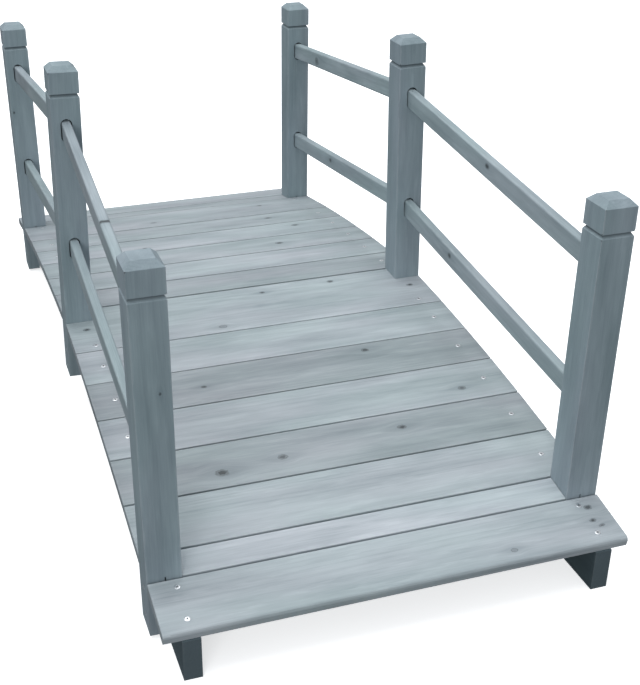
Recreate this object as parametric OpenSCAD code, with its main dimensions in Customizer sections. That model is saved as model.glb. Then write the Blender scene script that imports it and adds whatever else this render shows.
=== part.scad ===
// Small arched timber footbridge: two curved beams, a deck of flat boards
// laid across them, and a railing on each side with three posts and two
// sloping rails in each bay.
//
// X runs along the bridge with its front end at -X, +Y is the left side when
// walking from front to back, and Z is up. The origin is on the ground below
// the middle of the bridge. All sizes are in millimetres.

/* [Bridge] */
// Length over the ends of the beams
bridge_l = 1520; // [1260:10:1900]
// Width over the posts and the deck boards
bridge_w = 666; // [540:2:820]
// Height of the beams' top edge at the middle of the bridge
beam_crown_z = 156; // [135:1:200]
// How far the beams' top edge falls from the middle to the ends
beam_fall = 92; // [60:1:110]
// Slope of the beams' top edge on both sides of its slight peak
crown_slope = 2.6; // [0:0.1:3.5]

/* [Beams] */
// Thickness of a beam
beam_t = 25; // [18:1:32]
// Height of the arch under a beam, above the ground
arch_h = 64; // [30:1:80]
// Length of the flat foot at each end of a beam
foot_l = 75; // [40:1:120]

/* [Deck boards] */
// Thickness of a board
board_t = 14; // [10:1:22]
// Width of the first and last board, outside the end posts
end_board_w = 91; // [60:1:120]
// Width of the wide board that is notched round the middle posts
middle_board_w = 152; // [120:1:190]
// Width of the narrower board behind the middle posts
narrow_board_w = 88; // [60:1:110]
// Width of the wide board in front of the back posts
back_board_w = 136; // [100:1:160]
// Gap between the boards of the front half
front_gap = 1; // [0.5:0.5:6]
// Gap behind the middle posts
middle_gap = 9; // [1:0.5:12]
// Gap between the boards of the back half
back_gap = 3; // [0.5:0.5:6]
// Radius along the top edges of a board
board_edge_r = 1; // [0.5:0.25:4]
// Radius along the outer top edge of the first and last board
nosing_r = 6; // [2:0.5:9]

/* [Posts] */
// Width of a square post
post_w = 48; // [38:1:60]
// Thickness of the cheek that passes down outside the beam
cheek_t = 24.5; // [15:0.5:30]
// Height of the end posts above the ground
end_post_top = 546; // [440:1:660]
// Height of the middle posts above the ground
middle_post_top = 613; // [500:1:740]
// Width of the saw kerf at the inner face of an end post's cheek
kerf_w = 2; // [1:0.25:3]
// How far that kerf runs up beyond the lap over the beam
kerf_h = 17; // [2:1:40]
// How far the middle posts lean inwards, in degrees
middle_post_lean = 1.3; // [0:0.1:1.6]
// Height of the end posts' feet above the ground
end_foot_z = 5; // [1:0.5:20]
// Height of the middle posts' feet above the ground
middle_foot_z = 65; // [20:1:80]
// Height of the square face of a cap, between the groove and the chamfer
cap_h = 34; // [20:1:50]
// Chamfer round the top of a cap
cap_chamfer = 9; // [4:0.5:14]
// Height of the groove's sloping side
groove_h = 7; // [4:0.5:12]
// Depth of the groove under a cap
groove_d = 5; // [2:0.5:8]

/* [Rails] */
// Thickness of a rail
rail_t = 15; // [12:0.5:24]
// Height of a rail's section
rail_h = 32; // [22:0.5:36]
// Radius of a rail's long edges
rail_r = 3.5; // [2:0.5:5.5]
// Height of the top rails' centre line at the middle posts
top_rail_middle_z = 509; // [440:1:560]
// Height of the top rails' centre line at the end posts
top_rail_end_z = 447; // [380:1:460]
// Height of the bottom rails' centre line at the middle posts
bottom_rail_middle_z = 306; // [260:1:380]
// Height of the bottom rails' centre line at the end posts
bottom_rail_end_z = 243; // [180:1:320]
// Depth of a rail's end in its slot
rail_tenon = 14; // [10:1:22]
// Space left behind a rail's end
slot_end_gap = 2; // [0.5:0.5:4]
// Space beside a rail in its slot
slot_side_gap = 2; // [1:0.25:3]
// Space above a rail's inner end in its slot
slot_top_gap = 0.8; // [0.2:0.2:8]

/* [Clearances] */
// Between the posts' cheeks and the beams
lap_gap = 0.1; // [0:0.05:0.5]
// Between the beams' top edge and what rests on it
seat_gap = 0.1; // [0.05:0.05:0.5]
// Between the deck boards and the posts beside them
post_gap = 0.5; // [0.3:0.1:2]

/* [Hidden] */
fine = 1080; // segments in the beams' large arcs
round = 48; // segments in small arcs
over = 1; // how far a cutting shape passes the face that it cuts

side_names = ["left", "right"];
row_names = ["front", "middle", "back"];
bay_names = ["front", "back"];
level_names = ["top", "bottom"];

half_l = bridge_l / 2;
half_w = bridge_w / 2;
post_x = half_l - end_board_w - post_w / 2;
post_y = half_w - post_w / 2;

// Each half of the beams' top edge is an arc, and the two arcs meet in a slight
// peak. The arc of one half is centred beyond the middle, below the other half.
top_r = (pow(half_l, 2) + pow(beam_fall, 2))
    / (2 * (beam_fall * cos(crown_slope) - half_l * sin(crown_slope)));
top_centre_x = top_r * sin(crown_slope);
top_centre_z = beam_crown_z - top_r * cos(crown_slope);
// The arch below is one arc about a point on X = 0.
arch_half = half_l - foot_l;
arch_r = (pow(arch_half, 2) + pow(arch_h, 2)) / (2 * arch_h);
arch_centre_z = arch_h - arch_r;
beam_outer_y = half_w - cheek_t - lap_gap;

// Deck board edges from front to back, each at the middle of its gap.
front_boards = 5;
back_boards = 4;
front_start = -post_x + post_w / 2;
middle_back = post_w / 2;
back_start = middle_back + narrow_board_w;
back_end = post_x - post_w / 2;
front_pitch = (middle_back - middle_board_w - front_start) / front_boards;
back_pitch = (back_end - back_board_w - back_start) / back_boards;
deck_edges = concat(
    [-half_l, -post_x - post_w / 2],
    [for (i = [0:front_boards]) front_start + i * front_pitch],
    [middle_back],
    [for (i = [0:back_boards]) back_start + i * back_pitch],
    [back_end, post_x + post_w / 2, half_l]
);
board_count = len(deck_edges) - 1;
middle_board = 3 + front_boards; // the number of the board notched round the middle posts
between_posts = [2, board_count - 1]; // numbers of the boards that fit between the end posts

// A leaning post turns about the point where it meets the beam's top edge.
lap_z = beam_crown_z;

slot_w = rail_t + 2 * slot_side_gap;
slot_depth = rail_tenon + slot_end_gap;

function side(s) = s == 0 ? 1 : -1;
function row_x(i) = (i - 1) * post_x;
function post_top(i) = i == 1 ? middle_post_top : end_post_top;
function foot_z(i) = i == 1 ? middle_foot_z : end_foot_z;
function rail_middle_z(l) = l == 0 ? top_rail_middle_z : bottom_rail_middle_z;
function rail_end_z(l) = l == 0 ? top_rail_end_z : bottom_rail_end_z;
// Clear length between the faces of the middle and end posts
bay_l = post_x - post_w;
function rail_slope(l) = atan2(rail_middle_z(l) - rail_end_z(l), bay_l);
function lean(i) = i == 1 ? middle_post_lean : 0;
// How far inwards the axis of a leaning post has moved at height z
function lean_shift(i, z) = (z - lap_z) * tan(lean(i));
// How far a point at height z lies along the axis of a leaning post
function along_post(i, z) = lap_z + (z - lap_z) / cos(lean(i));
function rail_turn(l) = atan2(lean_shift(1, rail_middle_z(l)), bay_l);
// Lowest point of a rail inside a middle post's slot and inside an end post's slot
function rail_low(i, l) =
    (i == 1 ? rail_middle_z(l) : rail_end_z(l) - rail_tenon * tan(rail_slope(l)))
    - rail_h / 2 / cos(rail_slope(l));
// How far a rail that doesn't point straight along its slot lies off the slot's middle
function rail_skew(i, l) = rail_h / 2 * tan(lean(i)) + slot_depth / 2 * tan(rail_turn(l));
// How far a rail's rounded corners keep it above the bottom of a round slot
slot_corner_r = slot_w / 2 - rail_r;
function rail_rise(i, l) =
    slot_corner_r + seat_gap
    - sqrt(pow(slot_corner_r, 2) - pow(rail_t / 2 - rail_r + rail_skew(i, l), 2));
// Height of a slot, enough for the rail's rounded corners at its top and bottom
function slot_h(l) =
    rail_h / cos(rail_slope(l)) + rail_tenon * tan(rail_slope(l))
    + 2 * rail_rise(1, l) + slot_top_gap;
// Gap at deck edge i, none at the two ends of the bridge
function gap_at(i) =
    i == 0 || i == board_count ? 0
    : i == middle_board ? middle_gap
    : i < middle_board ? front_gap
    : back_gap;

function beam_name(s) = str("beam_", side_names[s]);
function post_name(i, s) = str("post_", row_names[i], "_", side_names[s]);
function rail_name(l, b, s) = str("rail_", level_names[l], "_", bay_names[b], "_", side_names[s]);
function board_name(k) = str("board_", k < 10 ? "0" : "", k);

// Turns a shape drawn as X and Z into an upright slab of thickness t about Y = 0
module upright(t) {
    rotate([90, 0, 0])
        linear_extrude(height = t, center = true)
            children();
}

// Side view of the space below the beams' top edge, raised by up
module below_deck(up = 0) {
    intersection() {
        translate([-half_l, -over])
            square([bridge_l, beam_crown_z + 2 * over]);
        translate([top_centre_x, top_centre_z])
            circle(r = top_r + up, $fn = fine);
        translate([-top_centre_x, top_centre_z])
            circle(r = top_r + up, $fn = fine);
    }
}

// Beam: a curved plank on edge, flat at its two feet and arched between them
module beam(s) {
    color([0.24, 0.29, 0.33])
        translate([0, side(s) * (beam_outer_y - beam_t / 2), 0])
            upright(beam_t)
                difference() {
                    below_deck();
                    translate([0, arch_centre_z])
                        circle(r = arch_r, $fn = fine);
                    translate([-half_l - over, -2 * over])
                        square([bridge_l + 2 * over, 2 * over]);
                }
}

// Side view of a post about X = 0, with its groove and its chamfered cap
module post_outline(top, foot) {
    w = post_w / 2;
    cap_z = top - cap_chamfer - cap_h;
    half = [
        [w, foot], [w, cap_z - groove_h], [w - groove_d, cap_z], [w, cap_z],
        [w, top - cap_chamfer], [w - cap_chamfer, top]
    ];
    polygon(concat(half, [for (i = [len(half) - 1:-1:0]) [-half[i][0], half[i][1]]]));
}

// Round-ended slot for a rail's end, cut into a face at X = 0 towards +X
module rail_slot(bottom, height) {
    r = slot_w / 2;
    translate([-over, 0, bottom])
        rotate([90, 0, 90])
            linear_extrude(height = slot_depth + over) {
                translate([0, r])
                    circle(r = r, $fn = round);
                translate([-r, r])
                    square([slot_w, height - slot_w]);
                translate([0, height - r])
                    circle(r = r, $fn = round);
            }
}

// Post on its own axis about X = Y = 0, with the slots for its rails
module post_body(i) {
    difference() {
        intersection() {
            upright(post_w)
                post_outline(post_top(i), foot_z(i));
            rotate([0, 0, 90])
                upright(post_w)
                    post_outline(post_top(i), foot_z(i));
        }
        // slots face the other posts of the same railing
        for (way = i == 1 ? [-1, 1] : [1 - i], l = [0:1])
            translate([way * post_w / 2, 0, 0])
                mirror([way > 0 ? 1 : 0, 0, 0])
                    rail_slot(along_post(i, rail_low(i, l)) - rail_rise(i, l), slot_h(l));
    }
}

// Post: its upper part stands on the beam and its outer cheek runs down past it
module post(i, s) {
    color([0.43, 0.49, 0.53])
        difference() {
            translate([row_x(i), side(s) * post_y, lap_z])
                rotate([side(s) * lean(i), 0, 0])
                    translate([0, 0, -lap_z])
                        post_body(i);
            // the lap over the beam
            translate([0, side(s) * (half_w - cheek_t - post_w / 2 - over), 0])
                upright(post_w + 2 * over)
                    below_deck(seat_gap);
            // the kerf that the saw left when it cut the lap
            if (i != 1)
                translate([0, side(s) * (half_w - cheek_t - kerf_w / 2), 0])
                    upright(kerf_w)
                        below_deck(seat_gap + kerf_h);
        }
}

// Cross-section of a rail about its centre
module rail_section() {
    for (flat = [[rail_t - 2 * rail_r, rail_h], [rail_t, rail_h - 2 * rail_r]])
        square(flat, center = true);
    for (y = [-1, 1], z = [-1, 1])
        translate([y * (rail_t / 2 - rail_r), z * (rail_h / 2 - rail_r)])
            circle(r = rail_r, $fn = round);
}

// Rail: slopes down from a middle post to an end post, with both ends in slots
module rail(l, b, s) {
    slope = rail_slope(l);
    way = b == 0 ? -1 : 1;
    length = (bay_l + 2 * rail_tenon - rail_h * sin(slope)) / cos(slope);
    middle_y = post_y - lean_shift(1, rail_middle_z(l)) / 2;
    middle_z = (rail_middle_z(l) + rail_end_z(l)) / 2;
    color([0.62, 0.67, 0.71])
        translate([way * post_x / 2, side(s) * middle_y, middle_z])
            rotate([0, way * slope, way * side(s) * rail_turn(l)])
                rotate([90, 0, 90])
                    linear_extrude(height = length, center = true)
                        rail_section();
}

// Cross-section of a board of width w, from its underside at Y = 0
module board_section(w, front_r, back_r) {
    translate([-w / 2 + front_r, 0])
        square([w - front_r - back_r, board_t]);
    for (edge = [[-1, front_r], [1, back_r]]) {
        r = edge[1];
        translate([edge[0] * (w / 2 - r / 2) - r / 2, 0])
            square([r, board_t - r]);
        translate([edge[0] * (w / 2 - r), board_t - r])
            circle(r = r, $fn = round);
    }
}

// Deck board number k: flat, and touching the beams' top edge along its middle
module board(k) {
    x0 = deck_edges[k - 1] + gap_at(k - 1) / 2;
    x1 = deck_edges[k] - gap_at(k) / 2;
    centre_x = x0 + x1 < 0 ? top_centre_x : -top_centre_x;
    tilt = asin(((x0 + x1) / 2 - centre_x) / (top_r + seat_gap + board_t / 2));
    w = (x1 - x0 - board_t * abs(sin(tilt))) / cos(tilt);
    front_r = k == 1 ? nosing_r : board_edge_r;
    back_r = k == board_count ? nosing_r : board_edge_r;
    inside_posts = len(search(k, between_posts)) > 0;
    length = inside_posts ? bridge_w - 2 * (post_w + post_gap) : bridge_w;
    color([0.65, 0.70, 0.73])
        difference() {
            translate([centre_x, 0, top_centre_z])
                rotate([0, tilt, 0])
                    translate([0, 0, top_r + seat_gap])
                        upright(length)
                            board_section(w, front_r, back_r);
            if (k == middle_board)
                for (s = [0:1])
                    mirror([0, s, 0])
                        post_notch();
        }
}

// Space for the left middle post in the board that is notched round it
module post_notch() {
    front = post_w / 2 + post_gap;
    inner = half_w - post_w - post_gap;
    translate([-front, inner, beam_crown_z - board_t])
        cube([front + post_w, half_w + over - inner, 3 * board_t]);
}

for (s = [0:1])
    beam(s);
for (i = [0:2], s = [0:1])
    post(i, s);
for (l = [0:1], b = [0:1], s = [0:1])
    rail(l, b, s);
for (k = [1:board_count])
    board(k);
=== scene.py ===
# %% [markdown]
# # A small arched garden footbridge
#
# The real bridge is softwood stained a thin blue-grey: two curved beams, sixteen
# deck boards, six capped posts and eight rails, held together by zinc screws.
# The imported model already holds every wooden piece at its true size, so this
# lesson adds what the shapes alone can't show: the grain and knots, the stain
# that has soaked in more in some places than in others, edges eased by sanding,
# and the screws.

# %% Load the bridge
import bmesh
import bpy
import math
import random
from mathutils import Matrix, Vector


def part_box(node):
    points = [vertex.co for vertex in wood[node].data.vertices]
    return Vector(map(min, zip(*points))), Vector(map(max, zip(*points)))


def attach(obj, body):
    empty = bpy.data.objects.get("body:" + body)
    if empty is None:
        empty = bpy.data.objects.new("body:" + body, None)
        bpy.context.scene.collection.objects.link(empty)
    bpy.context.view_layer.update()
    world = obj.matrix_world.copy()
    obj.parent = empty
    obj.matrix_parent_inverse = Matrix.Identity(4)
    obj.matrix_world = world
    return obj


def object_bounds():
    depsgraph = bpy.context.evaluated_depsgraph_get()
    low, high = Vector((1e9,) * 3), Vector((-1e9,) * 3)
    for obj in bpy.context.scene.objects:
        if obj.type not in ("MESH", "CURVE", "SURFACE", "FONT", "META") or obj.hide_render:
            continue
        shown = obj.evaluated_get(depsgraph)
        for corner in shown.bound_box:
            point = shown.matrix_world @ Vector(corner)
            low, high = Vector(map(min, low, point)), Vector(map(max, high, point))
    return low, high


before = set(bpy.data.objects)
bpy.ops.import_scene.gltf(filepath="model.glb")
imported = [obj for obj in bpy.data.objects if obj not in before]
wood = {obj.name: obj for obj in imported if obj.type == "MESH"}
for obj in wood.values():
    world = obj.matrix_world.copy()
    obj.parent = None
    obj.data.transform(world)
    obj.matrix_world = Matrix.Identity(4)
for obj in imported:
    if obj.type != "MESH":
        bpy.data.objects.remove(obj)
cad_low, cad_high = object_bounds()
print(len(wood), "pieces of timber, box", tuple(round(v, 3) for v in cad_high - cad_low))

# %% [markdown]
# ## Where the viewer stands
#
# The bridge is seen by someone who stands in front of its left corner and looks
# down along it. A camera could be aimed with a tracking constraint, but a heading
# and a dip in degrees say more plainly where it looks, so its matrix is built
# from those two turns and a slight tilt of the horizon. The shift moves the frame
# without turning the camera, which keeps the posts' lines as they are.

# %% Camera
EYE = Vector((-1.8706, 0.5335, 1.0674))
HEADING, DIP, TILT = math.radians(17.5), math.radians(28.41), math.radians(-0.30)
SENSOR_MM, LENS_MM = 36, 61.32
SHIFT_X, SHIFT_Y = 0.0649, 0.0357
NEAREST, FARTHEST = 0.05, 60

forward = Vector((math.cos(HEADING) * math.cos(DIP), -math.sin(HEADING) * math.cos(DIP),
                  -math.sin(DIP)))
level_right = forward.cross(Vector((0, 0, 1))).normalized()
right = Matrix.Rotation(-TILT, 3, forward) @ level_right
up = right.cross(forward)
camera = bpy.data.objects.new("viewer", bpy.data.cameras.new("viewer"))
turned = Matrix((right, up, -forward)).transposed().to_4x4()
camera.matrix_world = Matrix.Translation(EYE) @ turned
camera.data.sensor_width, camera.data.lens = SENSOR_MM, LENS_MM
camera.data.shift_x, camera.data.shift_y = SHIFT_X, SHIFT_Y
camera.data.clip_start, camera.data.clip_end = NEAREST, FARTHEST
bpy.context.scene.collection.objects.link(camera)
bpy.context.scene.camera = camera
distance = (camera.location - (cad_low + cad_high) / 2).length
print("camera", round(distance, 2), "m from the middle")

# %% [markdown]
# ## Studio floor and light
#
# A pale floor and a wide soft lamp overhead give the flat, even light of a
# product studio. The lamp hangs just past the bridge's far end and to its left,
# so that each post leaves a faint shade on the board in front of it. A smaller
# lamp low in front keeps the near faces from going dark. The floor is seen pale,
# but it sends little light back up, as a floor of matt cloth does; without that
# the front faces and the underside would be too bright. The air behind it is seen
# white too, so that no horizon line cuts across other views.

# %% Effects are built from small steps
def feed(tree, made, values):
    """Gives a node's inputs, in order or by name, a link or a plain value."""
    pairs = values.items() if isinstance(values, dict) else enumerate(values)
    for key, value in pairs:
        if isinstance(value, bpy.types.NodeSocket):
            tree.links.new(value, made.inputs[key])
        elif value is not None:
            made.inputs[key].default_value = value


def step(tree, kind, values=(), **settings):
    """Adds one shader node, sets it up and returns it."""
    made = tree.nodes.new("ShaderNode" + kind)
    for key, value in settings.items():
        setattr(made, key, value)
    feed(tree, made, values)
    return made


def calc(tree, operation, *values):
    """One sum on plain numbers."""
    return step(tree, "Math", values, operation=operation).outputs[0]


def move(tree, operation, *values):
    """One sum on places; a length comes out as a number."""
    made = step(tree, "VectorMath", values, operation=operation)
    return made.outputs["Value" if operation == "LENGTH" else "Vector"]


def ramp(tree, value, low, high, start=0.0, end=1.0):
    """A soft step: start below low, end above high."""
    return step(tree, "MapRange", (value, low, high, start, end),
                interpolation_type="SMOOTHSTEP").outputs[0]


def patches(tree, place, stretch, seed, detail=2.0, roughness=0.5):
    """Soft noise whose blobs are 1/stretch metres long, wide and deep."""
    spread = move(tree, "MULTIPLY", place, stretch)
    moved = move(tree, "ADD", spread, seed)
    made = step(tree, "TexNoise", {"Vector": moved, "Scale": 1.0, "Detail": detail,
                                   "Roughness": roughness})
    return made.outputs[0]


MIX_SHARE, MIX_FIRST, MIX_SECOND, MIX_RESULT = 0, 6, 7, 2  # a colour mix's sockets


def blend(tree, share, first, second, way="MIX"):
    """Lays the second colour over the first."""
    made = step(tree, "Mix", {MIX_SHARE: share, MIX_FIRST: first, MIX_SECOND: second},
                data_type="RGBA", blend_type=way)
    return made.outputs[MIX_RESULT]


print("helpers ready")

# %% Floor, sky and lamps
FLOOR_SIDE = 30.0
FLOOR_GLOW = 0.72
FLOOR_SEEN = (0.88, 0.885, 0.89, 1), (0.92, 0.925, 0.93, 1)
FLOOR_MATT, NO_LIGHT = (0.10, 0.105, 0.11, 1), (0, 0, 0, 1)
AIR_LIGHT, AIR_TINT, AIR_SEEN = 0.50, (0.93, 0.96, 1.0, 1), (1, 1, 1, 1)
OVERHEAD_WATTS, FILL_WATTS = 350, 126


def pale_floor():
    """A flat square that looks pale but lights its surroundings little."""
    sheet = bmesh.new()
    corners = [sheet.verts.new((x * FLOOR_SIDE / 2, y * FLOOR_SIDE / 2, 0))
               for x, y in ((-1, -1), (1, -1), (1, 1), (-1, 1))]
    sheet.faces.new(corners)
    mesh = bpy.data.meshes.new("studio_floor")
    sheet.to_mesh(mesh)
    sheet.free()
    floor = bpy.data.objects.new("studio_floor", mesh)
    bpy.context.scene.collection.objects.link(floor)
    look = bpy.data.materials.new("matt_floor_paint")
    look.use_nodes = True
    tree = look.node_tree
    shader = tree.nodes["Principled BSDF"]
    shader.inputs["Roughness"].default_value = 0.9
    shader.inputs["Specular IOR Level"].default_value = 0.1
    place = step(tree, "TexCoord").outputs["Object"]
    mottle = patches(tree, place, (1.5, 1.5, 1.5), (0, 0, 0))
    seen = blend(tree, mottle, *FLOOR_SEEN)
    direct = step(tree, "LightPath").outputs["Is Camera Ray"]
    feed(tree, shader, {"Base Color": blend(tree, direct, FLOOR_MATT, seen),
                        "Emission Color": blend(tree, direct, NO_LIGHT, seen),
                        "Emission Strength": FLOOR_GLOW})
    mesh.materials.append(look)


def soft_lamp(name, place, aim, size, watts, colour):
    """A round lamp, size metres across, that faces a point."""
    lamp = bpy.data.lights.new(name, "AREA")
    lamp.shape, lamp.size, lamp.energy, lamp.color = "DISK", size, watts, colour
    made = bpy.data.objects.new(name, lamp)
    made.location = place
    facing = Vector(aim) - Vector(place)
    made.rotation_euler = facing.to_track_quat("-Z", "Y").to_euler()
    bpy.context.scene.collection.objects.link(made)


pale_floor()
soft_lamp("overhead_lamp", (1.0, 0.8, 6.5), (0, 0, 0.2), 7.0, OVERHEAD_WATTS, (0.99, 1.0, 1.0))
soft_lamp("front_fill", (-5.9, 3.2, 2.6), (-0.2, 0, 0.3), 3.0, FILL_WATTS, (0.98, 1.0, 1.0))

world = bpy.data.worlds.new("studio_air")
bpy.context.scene.world = world
world.use_nodes = True
air = world.node_tree
seen_directly = step(air, "LightPath").outputs["Is Camera Ray"]
strength = step(air, "MapRange", (seen_directly, 0, 1, AIR_LIGHT, 1.0)).outputs[0]
feed(air, air.nodes["Background"],
     {"Color": blend(air, seen_directly, AIR_TINT, AIR_SEEN), "Strength": strength})
bpy.context.scene.view_settings.view_transform = "Standard"
print("floor", FLOOR_SIDE, "m wide, two lamps")

# %% [markdown]
# ## How each stick of timber lies
#
# Wood is not the same in all directions. The grain runs along a stick, so every
# pattern needs to know where that stick's length, width and thickness point. They
# could be typed in, but they are in the meshes already: the boards tilt to follow
# the arch and the rails slope. So each stick's own axes are measured from its
# corners, and the patterns are laid out in metres along them.

# %% Measure the lie of a stick
FACING = 0.9  # cosine: within about 26 degrees counts as looking that way
END_SHARE = 0.1  # how much of a rail's length counts as its end


def corners_of(name):
    """The points of a piece's mesh."""
    return [v.co.copy() for v in wood[name].data.vertices]


def widest_face(name, towards):
    """Normal of the largest face that looks in a direction."""
    looking = [p for p in wood[name].data.polygons if p.normal.dot(Vector(towards)) > FACING]
    return max(looking, key=lambda p: p.area).normal.copy()


def lie_of(name):
    """Middle, axes (along, across, through) and half sizes of one stick."""
    points = corners_of(name)
    if name.startswith("board"):
        along, through = Vector((0, 1, 0)), widest_face(name, (0, 0, 1))
    elif name.startswith("post"):
        through = Vector((-1, 0, 0))
        along = widest_face(name, (0, 1, 0)).cross(through)
    elif name.startswith("rail"):
        low, high = min(p.x for p in points), max(p.x for p in points)
        reach = (high - low) * END_SHARE
        ends = [[p for p in points if abs(p.x - x) < reach] for x in (low, high)]
        first, last = (sum(e, Vector()) / len(e) for e in ends)
        along = (last - first).normalized()
        through = (Vector((0, -1, 0)) + along * along.y).normalized()
    else:
        along, through = Vector((1, 0, 0)), Vector((0, -1, 0))
    axes = (along, through.cross(along), through)
    spans = [[p.dot(axis) for p in points] for axis in axes]
    middle = sum(((min(s) + max(s)) / 2 * a for s, a in zip(spans, axes)), Vector())
    half = Vector([(max(s) - min(s)) / 2 for s in spans])
    return {"middle": middle, "axes": axes, "half": half}


lie = {name: lie_of(name) for name in sorted(wood)}
for name in ("board_01", "post_front_left", "rail_top_front_left", "beam_left"):
    print(name, "half sizes in mm", [round(v * 1000, 1) for v in lie[name]["half"]])

# %% [markdown]
# ## Growth rings and fibre
#
# A sawn face cuts through the tree's yearly rings, which is why a board shows long
# lines and, here and there, a pointed arch. A flat picture of wood could be
# wrapped round each stick, but then the end grain would not meet the face grain.
# Here the rings are real cylinders round a pith that lies beside the stick, and
# they wander a little along its length, so every face is cut from one solid.
# Fine fibre streaks and broad cloudy bands are laid over them.

# %% Effect: timber grain
def new_effect(name, inputs, outputs):
    """Starts a node group; returns its tree and the sockets that it is given."""
    tree = bpy.data.node_groups.new(name, "ShaderNodeTree")
    kinds = {"v": "NodeSocketVector", "f": "NodeSocketFloat", "c": "NodeSocketColor"}
    for label, kind, value in inputs:
        socket = tree.interface.new_socket(label, in_out="INPUT", socket_type=kinds[kind])
        socket.default_value = value
    for label, kind in outputs:
        tree.interface.new_socket(label, in_out="OUTPUT", socket_type=kinds[kind])
    tree.nodes.new("NodeGroupOutput").name = "result"
    return tree, tree.nodes.new("NodeGroupInput").outputs


def hand_out(tree, results):
    """Connects what an effect made to its output sockets."""
    for label, socket in results.items():
        tree.links.new(socket, tree.nodes["result"].inputs[label])


def use_effect(tree, effect, values):
    """Places a node group in a material and returns its outputs."""
    made = tree.nodes.new("ShaderNodeGroup")
    made.node_tree = effect
    feed(tree, made, values)
    return made.outputs


def timber_grain():
    """Yearly rings, fibre streaks and clouds inside one stick."""
    tree, given = new_effect(
        "timber_grain",
        [("Place", "v", (0, 0, 0)), ("Pith", "v", (0, 0, -0.05)), ("Seed", "v", (0, 0, 0)),
         ("Ring Width", "f", 0.004), ("Wander", "f", 0.012)],
        [("Rings", "f"), ("Fibre", "f"), ("Cloud", "f"), ("Tint", "f"), ("Fleck", "f")])
    place, seed = given["Place"], given["Seed"]
    bend = patches(tree, place, (1.3, 4, 4), seed, 1.0)
    sway = patches(tree, place, (1.6, 3, 3), move(tree, "ADD", seed, (7.1, 3.3, 5.7)), 1.0)
    off = step(tree, "CombineXYZ", (0.0, calc(tree, "SUBTRACT", bend, 0.5),
                                    calc(tree, "SUBTRACT", sway, 0.5))).outputs[0]
    off = move(tree, "MULTIPLY", off, given["Wander"])
    out = move(tree, "SUBTRACT", move(tree, "ADD", place, off), given["Pith"])
    # A ring is nearly a cylinder, so places along the stick count for little.
    radius = move(tree, "LENGTH", move(tree, "MULTIPLY", out, (0.02, 1, 1)))
    years = calc(tree, "DIVIDE", radius, given["Ring Width"])
    ragged = patches(tree, place, (14, 260, 260), seed, 1.0)
    years = calc(tree, "ADD", years, calc(tree, "MULTIPLY", ragged, 0.35))
    # Each year darkens slowly into late wood and ends sharply.
    part = calc(tree, "FRACT", years)
    late = calc(tree, "MULTIPLY", ramp(tree, part, 0.35, 0.86),
                ramp(tree, part, 0.88, 1.0, 1, 0))
    year_kind = step(tree, "TexNoise", {"W": calc(tree, "MULTIPLY", years, 0.37), "Scale": 1.0,
                                        "Detail": 0.0}, noise_dimensions="1D").outputs[0]
    strength = ramp(tree, year_kind, 0.3, 0.75, 0.15, 1.0)
    fine = patches(tree, place, (22, 520, 520), seed, 2.0, 0.6)
    broad, cloud, tint, thin = (
        patches(tree, place, stretch, move(tree, "ADD", seed, shift), detail, roughness)
        for stretch, shift, detail, roughness in (
            ((5, 95, 95), (1.3, 8.9, 2.1), 2.0, 0.5),
            ((5, 22, 22), (4.4, 0.7, 9.2), 3.0, 0.55),
            ((3.4, 12, 12), (2.2, 6.1, 0.4), 1.0, 0.5),
            ((12, 80, 80), (6.6, 2.9, 3.1), 3.0, 0.6)))
    hand_out(tree, {"Rings": calc(tree, "MULTIPLY", late, strength),
                    "Fleck": ramp(tree, thin, 0.54, 0.72),
                    "Fibre": calc(tree, "MULTIPLY", calc(tree, "ADD", fine, broad), 0.5),
                    "Cloud": cloud, "Tint": tint})
    return tree


grain_effect = timber_grain()
print("timber grain:", len(grain_effect.nodes), "nodes")

# %% [markdown]
# ## Knots
#
# A knot is the foot of a branch. On a sawn face it is a small dark oval, now and
# then only a dark ring, and the yearly rings part and flow round it like water
# round a post. Dark dots could simply be painted on, but without the bent grain
# they look like stains. So each knot also pulls the place that the grain is read
# from towards its own middle, which pushes the lines apart. Knots are chained:
# each passes the bent place and the marks so far on to the next.

# %% Effect: one knot
def branch_knot():
    """Adds one knot to the marks so far and bends the grain round it."""
    tree, given = new_effect(
        "branch_knot",
        [("Place", "v", (0, 0, 0)), ("Knots", "f", 0.0), ("Shade", "f", 0.0),
         ("Middle", "v", (0, 0, 0)), ("Radius", "f", 0.005), ("Heart", "f", 1.0)],
        [("Place", "v"), ("Knots", "f"), ("Shade", "f")])
    place, radius = given["Place"], given["Radius"]
    away = move(tree, "MULTIPLY", move(tree, "SUBTRACT", place, given["Middle"]), (1, 1, 0))
    ragged = calc(tree, "SUBTRACT", patches(tree, place, (240, 240, 60), given["Middle"]), 0.5)
    oval = move(tree, "LENGTH", move(tree, "MULTIPLY", away, (0.7, 1, 1)))
    far = calc(tree, "ADD", calc(tree, "DIVIDE", oval, radius), ragged)
    core = calc(tree, "MULTIPLY", ramp(tree, far, 0.45, 1.1, 1, 0), given["Heart"])
    off_rim = calc(tree, "ABSOLUTE", calc(tree, "SUBTRACT", far, 1.0))
    rim = ramp(tree, off_rim, 0.0, 0.4, 0.55, 0)
    tail = move(tree, "LENGTH", move(tree, "MULTIPLY", away, (0.3, 1, 1)))
    shade = ramp(tree, calc(tree, "DIVIDE", tail, radius), 0.6, 3.2, 1, 0)
    pull = ramp(tree, far, 0.0, 6.0, 0.85, 0.0)
    aside = move(tree, "MULTIPLY", away, (0, 1, 0))
    bent = move(tree, "SUBTRACT", place, move(tree, "MULTIPLY", aside, pull))
    mark = calc(tree, "MAXIMUM", core, rim)
    hand_out(tree, {"Place": bent, "Knots": calc(tree, "MAXIMUM", given["Knots"], mark),
                    "Shade": calc(tree, "MAXIMUM", given["Shade"], shade)})
    return tree


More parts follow.
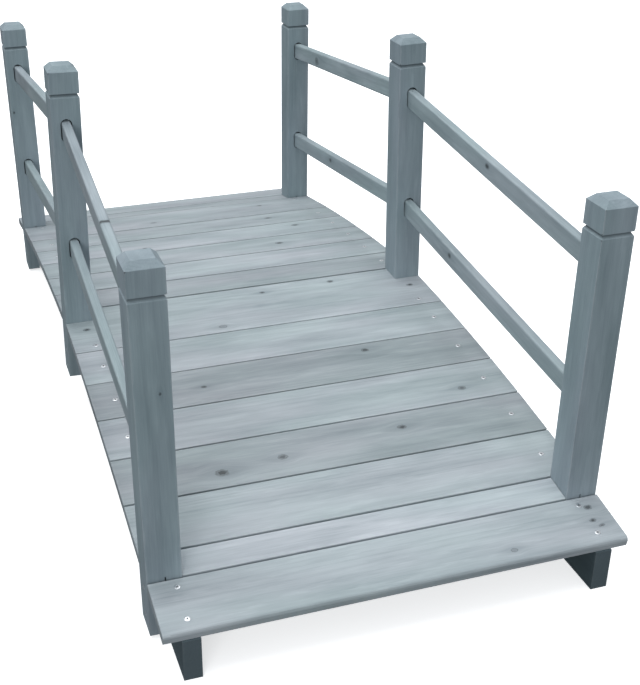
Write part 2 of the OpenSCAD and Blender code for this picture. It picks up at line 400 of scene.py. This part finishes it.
knot_effect = branch_knot()
print("branch knot:", len(knot_effect.nodes), "nodes")

# %% [markdown]
# ## Worn edges, thirsty ends and painted shade
#
# Handling and sanding rub the stain thin along the edges of a stick, and its sawn
# ends drink more stain than its faces and dry darker. Both follow from where a
# point lies in its own stick. The distance to the nearest edge is the middle one
# of the distances to the three pairs of faces, and the distance to an end is the
# first of them, so no measuring of the mesh's curvature is needed. The same
# distances tell which surfaces lie sunk below the faces, such as the groove under
# a post's cap. That groove gets painted shade: it is darkened as the cap's overhang
# would shade it. The cap's own slopes also lie below the faces, so the painted
# shade starts only under them.

# %% Effect: worn edges
SUNK_FROM, SUNK_TO = 0.0005, 0.0032  # metres below the nearest face
CAP_SLOPES = 0.0095, 0.0115  # metres from the top where a cap's slopes end
END_SKIN = 0.0004, 0.0014  # metres from an end face where its dark skin fades
SOAK_DEPTH = 0.035  # metres that an end draws the stain in


def worn_edges():
    """Marks for edges, end faces, soaked ends, and painted shade on sunk surfaces of a stick.
    """
    tree, given = new_effect(
        "worn_edges",
        [("Place", "v", (0, 0, 0)), ("Half Size", "v", (0.5, 0.05, 0.007)),
         ("Seed", "v", (0, 0, 0)), ("Reach", "f", 0.003)],
        [("Edge", "f"), ("End", "f"), ("Soak", "f"), ("Sunk Shade", "f")])
    place = given["Place"]
    gaps = move(tree, "SUBTRACT", given["Half Size"], move(tree, "ABSOLUTE", place))
    parts = step(tree, "SeparateXYZ", (gaps,)).outputs
    low = calc(tree, "MINIMUM", parts[0], parts[1])
    high = calc(tree, "MAXIMUM", parts[0], parts[1])
    near = calc(tree, "MAXIMUM", low, calc(tree, "MINIMUM", high, parts[2]))
    uneven = patches(tree, place, (30, 90, 90), given["Seed"], 3.0, 0.7)
    reach = calc(tree, "MULTIPLY", given["Reach"], ramp(tree, uneven, 0.3, 0.75, 0.15, 1.9))
    share = calc(tree, "DIVIDE", near, reach)
    # Painted shade: surfaces sunk below the faces, such as the groove under a post's cap, are
    # marked to be darkened.
    sunk = ramp(tree, calc(tree, "MINIMUM", parts[1], parts[2]), SUNK_FROM, SUNK_TO)
    below_cap = ramp(tree, parts[0], *CAP_SLOPES)
    hand_out(tree, {"Sunk Shade": calc(tree, "MULTIPLY", sunk, below_cap),
                    "Edge": ramp(tree, share, 0.0, 1.0, 1, 0),
                    "End": ramp(tree, parts[0], *END_SKIN, 1, 0),
                    "Soak": ramp(tree, parts[0], 0.0, SOAK_DEPTH, 1, 0)})
    return tree


edge_effect = worn_edges()
print("worn edges:", len(edge_effect.nodes), "nodes")

# %% [markdown]
# ## The blue-grey stain
#
# The finish is a thin stain and not a paint: it lets the grain through, goes
# darker in the hard late rings and in knots, and varies from board to board. One
# colour ramp per stick could do it, but the same few rules hold for every stick,
# so they are one effect. It takes the marks made above and gives a colour, a
# roughness and a height for the bump.

# %% Effect: stain over the marks
MEAN_TONE = 0.62  # where between deep and pale an unmarked spot lies
TONE_MARKS = (("Fleck", 0.25), ("Rings", -0.20), ("Shade", -0.28), ("Soak", -0.10))
WARM, GREEN, HUE_COVER = (1.06, 0.985, 1.01, 1), (0.96, 1.01, 0.98, 1), 0.6


def thin_stain():
    """Turns the marks into the stain's colour, roughness and height."""
    tree, given = new_effect(
        "thin_stain",
        [("Rings", "f", 0.0), ("Fibre", "f", 0.5), ("Cloud", "f", 0.5), ("Tint", "f", 0.5),
         ("Fleck", "f", 0.0), ("Knots", "f", 0.0), ("Shade", "f", 0.0), ("Edge", "f", 0.0),
         ("End", "f", 0.0), ("Soak", "f", 0.0), ("Sunk Shade", "f", 0.0),
         ("Pale", "c", (0.5, 0.55, 0.58, 1)), ("Deep", "c", (0.3, 0.36, 0.4, 1)),
         ("Contrast", "f", 1.0), ("Wear", "f", 0.5)],
        [("Colour", "c"), ("Roughness", "f"), ("Height", "f")])

    def swing(mark, amount):
        """A mark that goes both ways round one half."""
        return calc(tree, "MULTIPLY", calc(tree, "SUBTRACT", given[mark], 0.5), amount)

    def with_marks(total, marks):
        """Adds each mark, so much of it, to a total."""
        for mark, amount in marks:
            total = calc(tree, "ADD", total, calc(tree, "MULTIPLY", given[mark], amount))
        return total

    tone = calc(tree, "ADD", swing("Fibre", 1.3), swing("Cloud", 1.6))
    tone = with_marks(tone, TONE_MARKS)
    tone = calc(tree, "ADD", calc(tree, "MULTIPLY", tone, given["Contrast"]), MEAN_TONE)
    tone = step(tree, "Clamp", (tone,)).outputs[0]
    colour = blend(tree, tone, given["Deep"], given["Pale"])
    for low, high, hue in ((0.45, 0.72, WARM), (0.55, 0.3, GREEN)):
        share = calc(tree, "MULTIPLY", ramp(tree, given["Tint"], low, high), HUE_COVER)
        colour = blend(tree, share, colour, hue, "MULTIPLY")
    # Each layer: its mark, how strongly it covers, and the stain it lays on, which is
    # the pale or deep stain pulled some way towards another colour.
    for mark, cover, stain, pull, towards in (
            ("Knots", 0.97, "Deep", 0.85, (0.03, 0.034, 0.036, 1)),
            ("Edge", given["Wear"], "Pale", 0.35, (0.72, 0.74, 0.75, 1)),
            ("End", 0.55, "Deep", 0.5, (0.12, 0.145, 0.16, 1)),
            # This layer is painted shade: it turns the sunk groove under a post's cap almost
            # black.
            ("Sunk Shade", 0.65, "Deep", 0.6, (0.02, 0.025, 0.03, 1))):
        share = calc(tree, "MULTIPLY", given[mark], cover)
        colour = blend(tree, share, colour, blend(tree, pull, given[stain], towards))
    rough = calc(tree, "ADD", swing("Fibre", 0.22), 0.60)
    rough = with_marks(rough, (("End", 0.2), ("Knots", -0.14)))
    height = with_marks(swing("Fibre", 1.2), (("Rings", 0.55), ("Knots", -0.6)))
    hand_out(tree, {"Colour": colour, "Roughness": rough, "Height": height})
    return tree


stain_effect = thin_stain()
print("thin stain:", len(stain_effect.nodes), "nodes")

# %% [markdown]
# ## One finish per stick
#
# Every stick is cut from its own part of the tree and took the stain its own way,
# so each gets its own material: the same effects, with its own axes, pith, seed
# and tone. The mapping node turns places on the bridge into places in the stick.
# A post takes no end marks: its sanded cap dries no darker than its faces.

# %% Build a stick's finish
PALE, DEEP = (0.468, 0.525, 0.556), (0.283, 0.332, 0.360)
GRAIN_MARKS = ("Rings", "Fibre", "Cloud", "Tint", "Fleck")
FACE_MARKS, END_MARKS = ("Edge", "Sunk Shade"), ("End", "Soak")
WANDER, WORN_REACH = 0.012, 0.0024  # metres
RELIEF, RELIEF_DEPTH, SHINE = 0.35, 0.0006, 0.35
dice = random.Random(20)


def dyed(stain, tint, tone):
    """A stain's colour on one stick."""
    return (*(v * t * tone for v, t in zip(stain, tint)), 1)


def finish_stick(name, tone, tint=(1, 1, 1), knots=(), ring=0.0042, contrast=1.0, wear=0.3,
                 edge_marks=FACE_MARKS + END_MARKS):
    """Gives a CAD node its stained timber; knots are (along, across, radius, heart)."""
    stick, seed = lie[name], [dice.uniform(-40, 40) for _ in range(3)]
    pith = (0, dice.uniform(-0.03, 0.03), dice.choice((-1, 1)) * dice.uniform(0.05, 0.10))
    look = bpy.data.materials.new("stained_" + name)
    look.use_nodes = True
    tree = look.node_tree
    shader = tree.nodes["Principled BSDF"]
    turn = Matrix(stick["axes"]).transposed().to_euler("XYZ")
    place = step(tree, "Mapping", {"Vector": step(tree, "TexCoord").outputs["Object"],
                                   "Location": stick["middle"], "Rotation": turn},
                 vector_type="TEXTURE").outputs[0]
    bent, marks, shade = place, 0.0, 0.0
    for along, across, radius, heart in knots:
        knot = use_effect(tree, knot_effect, {"Place": bent, "Knots": marks, "Shade": shade,
                                              "Middle": (along, across, 0), "Radius": radius,
                                              "Heart": heart})
        bent, marks, shade = knot["Place"], knot["Knots"], knot["Shade"]
    grain = use_effect(tree, grain_effect, {"Place": bent, "Pith": pith, "Seed": seed,
                                            "Ring Width": ring, "Wander": WANDER})
    edges = use_effect(tree, edge_effect, {"Place": place, "Half Size": stick["half"],
                                           "Seed": seed, "Reach": WORN_REACH})
    stain = use_effect(tree, stain_effect, {
        **{mark: grain[mark] for mark in GRAIN_MARKS},
        **{mark: edges[mark] for mark in edge_marks},
        "Knots": marks, "Shade": shade, "Contrast": contrast, "Wear": wear,
        "Pale": dyed(PALE, tint, tone), "Deep": dyed(DEEP, tint, tone)})
    relief = step(tree, "Bump", {"Strength": RELIEF, "Distance": RELIEF_DEPTH,
                                 "Height": stain["Height"]})
    feed(tree, shader, {"Base Color": stain["Colour"], "Roughness": stain["Roughness"],
                        "Normal": relief.outputs[0], "Specular IOR Level": SHINE})
    wood[name].data.materials.clear()
    wood[name].data.materials.append(look)


print("finish ready")

# %% [markdown]
# ## Boards, posts, rails and beams
#
# The boards face up and are worn pale, each to its own tone. The posts and rails
# are a little darker and bluer. The beams are the darkest: their tone is set low to
# paint in the shade that the deck casts on them.
# Knots could be strewn at random, but then they would not lie where this bridge
# has them, so each knot on the boards, posts and rails has its own place, in metres
# along and across its stick; only the beams' knots are strewn. Most of these places
# are readings from a separate measuring script, kept here as plain data, and a few
# were added by eye. The two at the ends of the wide board are dark screw holes: the
# same mark paints the shade inside them.

# %% Deck boards
BOARD_TONE = (0.96, 1.05, 0.92, 0.77, 0.89, 0.74, 0.93, 0.95,
              0.84, 0.96, 0.91, 0.97, 0.90, 0.91, 0.84, 0.90)
BOARD_KNOTS = {
    "board_01": [(-0.301, 0.001, 0.003, 1.0), (-0.307, -0.024, 0.0038, 0.9),
                 (-0.309, 0.011, 0.003, 0.8), (-0.166, 0.024, 0.003, 0.3)],
    "board_04": [(0.181, 0.018, 0.0060, 1.0), (0.085, 0.007, 0.0045, 0.8),
                 (-0.115, -0.013, 0.0042, 1.0)],
    "board_05": [(-0.249, 0.017, 0.004, 0.8)],
    "board_06": [(-0.137, -0.029, 0.004, 1.0), (0.153, 0.004, 0.003, 1.0)],
    "board_08": [(0.073, 0.055, 0.0042, 0.35), (-0.164, -0.054, 0.004, 0.9),
                 # The marks at -0.302 and 0.302 are screw holes: a dark disk of painted shade
                 # for the inside of each hole.
                 (-0.029, -0.047, 0.003, 0.9), (-0.302, 0.000, 0.0038, 1.0),
                 (0.302, 0.000, 0.0038, 1.0)],
    "board_11": [(-0.144, 0.004, 0.005, 1.0)],
    "board_12": [(-0.216, -0.017, 0.005, 0.9), (0.120, 0.020, 0.003, 0.9)],
    "board_13": [(-0.181, -0.007, 0.005, 0.9)],
    "board_14": [(0.060, 0.030, 0.004, 0.8), (-0.200, -0.020, 0.004, 0.9)],
}
boards = [name for name in sorted(wood) if name.startswith("board")]
for name, tone in zip(boards, BOARD_TONE):
    finish_stick(name, tone=tone, knots=BOARD_KNOTS.get(name, ()))
print(len(boards), "boards,", sum(len(k) for k in BOARD_KNOTS.values()), "knots")

# %% Posts, rails and beams
# The beams' low tone is painted shade from the deck above them.
POST_TONE, RAIL_TONE, BEAM_SHADED_TONE = 0.72, 0.81, 0.27
POST_TINT, BEAM_TINT = (0.91, 1.0, 1.04), (0.80, 1.0, 1.07)
RAIL_TINT = (0.93, 1.0, 1.01)
RAIL_KNOTS = {
    "rail_bottom_front_right": [(0.110, 0.004, 0.004, 1.0)],
    "rail_top_front_right": [(0.000, 0.005, 0.004, 1.0)],
    "rail_top_back_right": [(0.148, -0.003, 0.007, 0.7)],
    "rail_bottom_back_right": [(0.055, 0.003, 0.004, 1.0)],
    "rail_top_front_left": [(-0.057, 0.016, 0.003, 1.0)],
}
POST_KNOTS = {
    "post_front_left": [(0.098, -0.009, 0.0015, 1.0)],
    "post_back_left": [(0.090, 0.018, 0.0020, 1.0)],
}
for name in sorted(wood):
    if name.startswith("post"):
        finish_stick(name, tone=POST_TONE * dice.uniform(0.97, 1.03), tint=POST_TINT,
                     knots=POST_KNOTS.get(name, ()), ring=0.0035, contrast=0.9,
                     edge_marks=FACE_MARKS)
    elif name.startswith("rail"):
        finish_stick(name, tone=RAIL_TONE * dice.uniform(0.97, 1.03), tint=RAIL_TINT,
                     knots=RAIL_KNOTS.get(name, ()), ring=0.003)
    elif name.startswith("beam"):
        finish_stick(name, tone=BEAM_SHADED_TONE, tint=BEAM_TINT, ring=0.005, contrast=0.6,
                     wear=0.15, knots=[(dice.uniform(-0.4, 0.4), 0.01, 0.006, 0.9)])
print("posts, rails and beams stained")

# %% [markdown]
# ## Eased edges
#
# Planed timber has its sharp corners taken off with a few strokes of sandpaper.
# The CAD pieces have the rounded edges that a cutter made; the last millimetre is
# a matter of finish, so a bevel modifier adds it here. On boards, rails and beams
# it works only where two faces meet at a real angle. A post's long corners are
# rounder, and the saw cuts in the end posts are too narrow for that radius, so
# those corners are named as a vertex group and only they are rounded. A bevel
# takes material off, so no piece grows.

# %% Ease the edges
EASE, EASE_STEPS, EASE_ANGLE = 0.0008, 2, math.radians(35)
CORNER_R, CORNER_STEPS = 0.0022, 3
AT_FACE = 0.0002  # metres: this near counts as lying on a face


def ease_edges(name, width, corners=None):
    """Rounds sharp edges, or only the ones between the vertices of one group."""
    cut = wood[name].modifiers.new("eased_" + (corners or "edges"), "BEVEL")
    if corners:
        cut.limit_method, cut.vertex_group, cut.segments = "VGROUP", corners, CORNER_STEPS
    else:
        cut.limit_method, cut.angle_limit, cut.segments = "ANGLE", EASE_ANGLE, EASE_STEPS
    cut.width, cut.use_clamp_overlap, cut.harden_normals = width, True, True


def mark_corners(name):
    """Names a post's four long corners as a vertex group."""
    stick = lie[name]
    group = wood[name].vertex_groups.new(name="corners")
    chosen = []
    for vertex in wood[name].data.vertices:
        away = vertex.co - stick["middle"]
        beside = [stick["half"][k] - abs(away.dot(stick["axes"][k])) for k in (1, 2)]
        if max(beside) < AT_FACE:
            chosen.append(vertex.index)
    group.add(chosen, 1.0, "REPLACE")
    return len(chosen)


for name in sorted(wood):
    if name.startswith("post"):
        marked = mark_corners(name)
        ease_edges(name, CORNER_R, "corners")
    else:
        ease_edges(name, EASE)
print(marked, "corner points on the last post")
print("edges eased on", len(wood), "pieces")

# %% [markdown]
# ## Wood screws
#
# Each board is held by zinc wood screws over the beams, and each post by two
# screws through its cheek. Only the head shows: a bright disk about 8 mm across
# with a rounded rim and a dark cross-shaped recess. A disk with a painted cross
# would look flat from close by, so the head is turned as a profile of rings, and
# its inner ring follows the outline of the cross. All heads share one mesh, and
# each is turned by a different angle, as a hand-driven screw would be.

# %% Screw head
HEAD_R, HEAD_H = 0.0042, 0.0005
ARM_LENGTH, ARM_WIDTH = 0.0020, 0.0009  # an arm of the cross, from its middle
RIM = ((1.00, -0.0004), (1.00, 0.0001), (0.94, 0.0003), (0.82, 0.00045), (0.66, HEAD_H))
RECESS = ((1.0, HEAD_H), (0.93, HEAD_H - 0.0001), (0.78, 0.0001))
METAL, RECESS_SHADE_AND_DIRT = 0, 1  # material slots of the head
ALMOST_ZERO = 1e-6


def cross_reach(angle):
    """Distance from the middle to the outline of the cross recess."""
    turn = math.radians((math.degrees(angle) + 45) % 90 - 45)
    side = ARM_WIDTH / 2 / max(abs(math.sin(turn)), ALMOST_ZERO)
    return min(ARM_LENGTH / math.cos(turn), side)


def turned_head():
    """A head as rings: shares of the radius, then shares of the cross, with heights."""
    corner = math.degrees(math.atan(ARM_WIDTH / 2 / ARM_LENGTH))
    steps = (-45, -33, -22, -corner, -corner / 2, 0, corner / 2, corner, 22, 33)
    angles = [math.radians(90 * arm + s) for arm in range(4) for s in steps]
    head = bmesh.new()
    rings = []
    for reach, levels in ((lambda angle: HEAD_R, RIM), (cross_reach, RECESS)):
        for share, z in levels:
            rings.append([head.verts.new((share * reach(a) * math.cos(a),
                                          share * reach(a) * math.sin(a), z))
                          for a in angles])
    count = len(angles)
    for inner, (first, second) in enumerate(zip(rings, rings[1:])):
        for k in range(count):
            face = head.faces.new((first[k], first[(k + 1) % count],
                                   second[(k + 1) % count], second[k]))
            face.material_index = RECESS_SHADE_AND_DIRT if inner > len(RIM) else METAL
            face.smooth = inner < len(RIM) - 1
    head.faces.new(rings[-1]).material_index = RECESS_SHADE_AND_DIRT
    head.faces.new(list(reversed(rings[0])))
    mesh = bpy.data.meshes.new("screw_head")
    head.to_mesh(mesh)
    head.free()
    return mesh


screw_mesh = turned_head()
print("screw head:", len(screw_mesh.polygons), "faces")

# %% [markdown]
# The zinc is a soft bright metal with fine scuffs from the driver. The recess is a
# dark, duller material of its own. It is partly dirt, which stays in it where the
# plating is thin, and partly painted shade for its depth.

# %% Zinc and recess
def scuffed_metal():
    """Fine scuffs for small metal parts, for the colour and for the bump."""
    tree, given = new_effect("scuffed_metal", [("Place", "v", (0, 0, 0)), ("Size", "f", 0.001)],
                             [("Scuff", "f")])
    spread = move(tree, "DIVIDE", given["Place"], given["Size"])
    marks = patches(tree, spread, (1.0, 0.25, 1.0), (3.1, 0.4, 1.9), 3.0, 0.65)
    hand_out(tree, {"Scuff": ramp(tree, marks, 0.35, 0.65)})
    return tree


scuff_effect = scuffed_metal()
SCUFF_SIZE, SCUFF_DEPTH = 0.0006, 0.00005


def metal_look(name, bright, dull, gloss, dullness, metallic):
    """A metal whose scuffs are duller in colour and rougher."""
    look = bpy.data.materials.new(name)
    look.use_nodes = True
    tree = look.node_tree
    shader = tree.nodes["Principled BSDF"]
    place = step(tree, "TexCoord").outputs["Object"]
    scuff = use_effect(tree, scuff_effect, {"Place": place, "Size": SCUFF_SIZE})["Scuff"]
    relief = step(tree, "Bump", {"Strength": 0.2, "Distance": SCUFF_DEPTH, "Height": scuff})
    feed(tree, shader, {"Base Color": blend(tree, scuff, bright, dull), "Metallic": metallic,
                        "Roughness": ramp(tree, scuff, 0, 1, gloss, dullness),
                        "Normal": relief.outputs[0]})
    return look


for look in (metal_look("zinc_plate", (0.86, 0.88, 0.90, 1), (0.66, 0.69, 0.72, 1),
                        0.28, 0.45, 1.0),
             # The recess's dark colour is painted shade as well as dirt.
             metal_look("screw_recess", (0.10, 0.11, 0.12, 1), (0.05, 0.055, 0.06, 1),
                        0.5, 0.7, 0.4)):
    screw_mesh.materials.append(look)
print("zinc ready")

# %% [markdown]
# The boards are screwed down over the middle of each beam: the two outer boards
# with two screws a side, the others with one, and the two that fit between the
# posts with none that shows. Each place is worked out from the board's own axes,
# so a head lies flat on a tilted board.

# %% Drive the screws
beam_line = lie["beam_left"]["middle"].y
END_POST_SCREWS, MIDDLE_POST_SCREWS = (0.020, 0.065), (0.010, 0.042)
POST_SINK = 0.0003  # the soft cheek lets the heads in a little
REAR_INSET, FRONT_INSET, SIDE_INSET = 0.014, 0.021, 0.017  # from a board's edge


def drive(name, place, outward):
    """Sets one screw head at a place on a surface, square to it."""
    screw = bpy.data.objects.new(name, screw_mesh)
    turn = outward.to_track_quat("Z", "Y").to_matrix().to_4x4()
    spin = Matrix.Rotation(dice.uniform(0, math.pi / 2), 4, "Z")
    screw.matrix_world = Matrix.Translation(place) @ turn @ spin
    bpy.context.scene.collection.objects.link(screw)
    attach(screw, "root")


def screw_board(name, across):
    """Screws a board to both beams; across gives each screw's place over its width."""
    stick = lie[name]
    out = stick["axes"][2]
    for side, y in (("left", beam_line), ("right", -beam_line)):
        for number, offset in enumerate(across, 1):
            place = (stick["middle"] + stick["axes"][0] * y + stick["axes"][1] * offset
                     + out * stick["half"][2])
            drive(f"screw_{name}_{side}_{number}", place, out)
    return 2 * len(across)


driven = 0
for name in boards:
    edge = lie[name]["half"][1]
    if name in ("board_01", "board_16"):
        driven += screw_board(name, (-(edge - REAR_INSET), edge - FRONT_INSET))
    elif name == "board_08":
        driven += screw_board(name, (edge - SIDE_INSET,))
    elif name == "board_14":
        driven += screw_board(name, (SIDE_INSET - edge,))
    elif name not in ("board_02", "board_15"):
        driven += screw_board(name, (0.0,))
for name in [name for name in sorted(wood) if name.startswith("post")]:
    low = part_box(name)[0]
    face = widest_face(name, (0, 1 if name.endswith("left") else -1, 0))
    reach = max(p.dot(face) for p in corners_of(name))
    rises = MIDDLE_POST_SCREWS if "middle" in name else END_POST_SCREWS
    for number, rise in enumerate(rises, 1):
        x, z = lie[name]["middle"].x, low.z + rise
        place = Vector((x, (reach - z * face.z) / face.y, z)) - face * POST_SINK
        drive(f"screw_{name}_{number}", place, face)
    driven += len(rises)
print(driven, "screws driven")
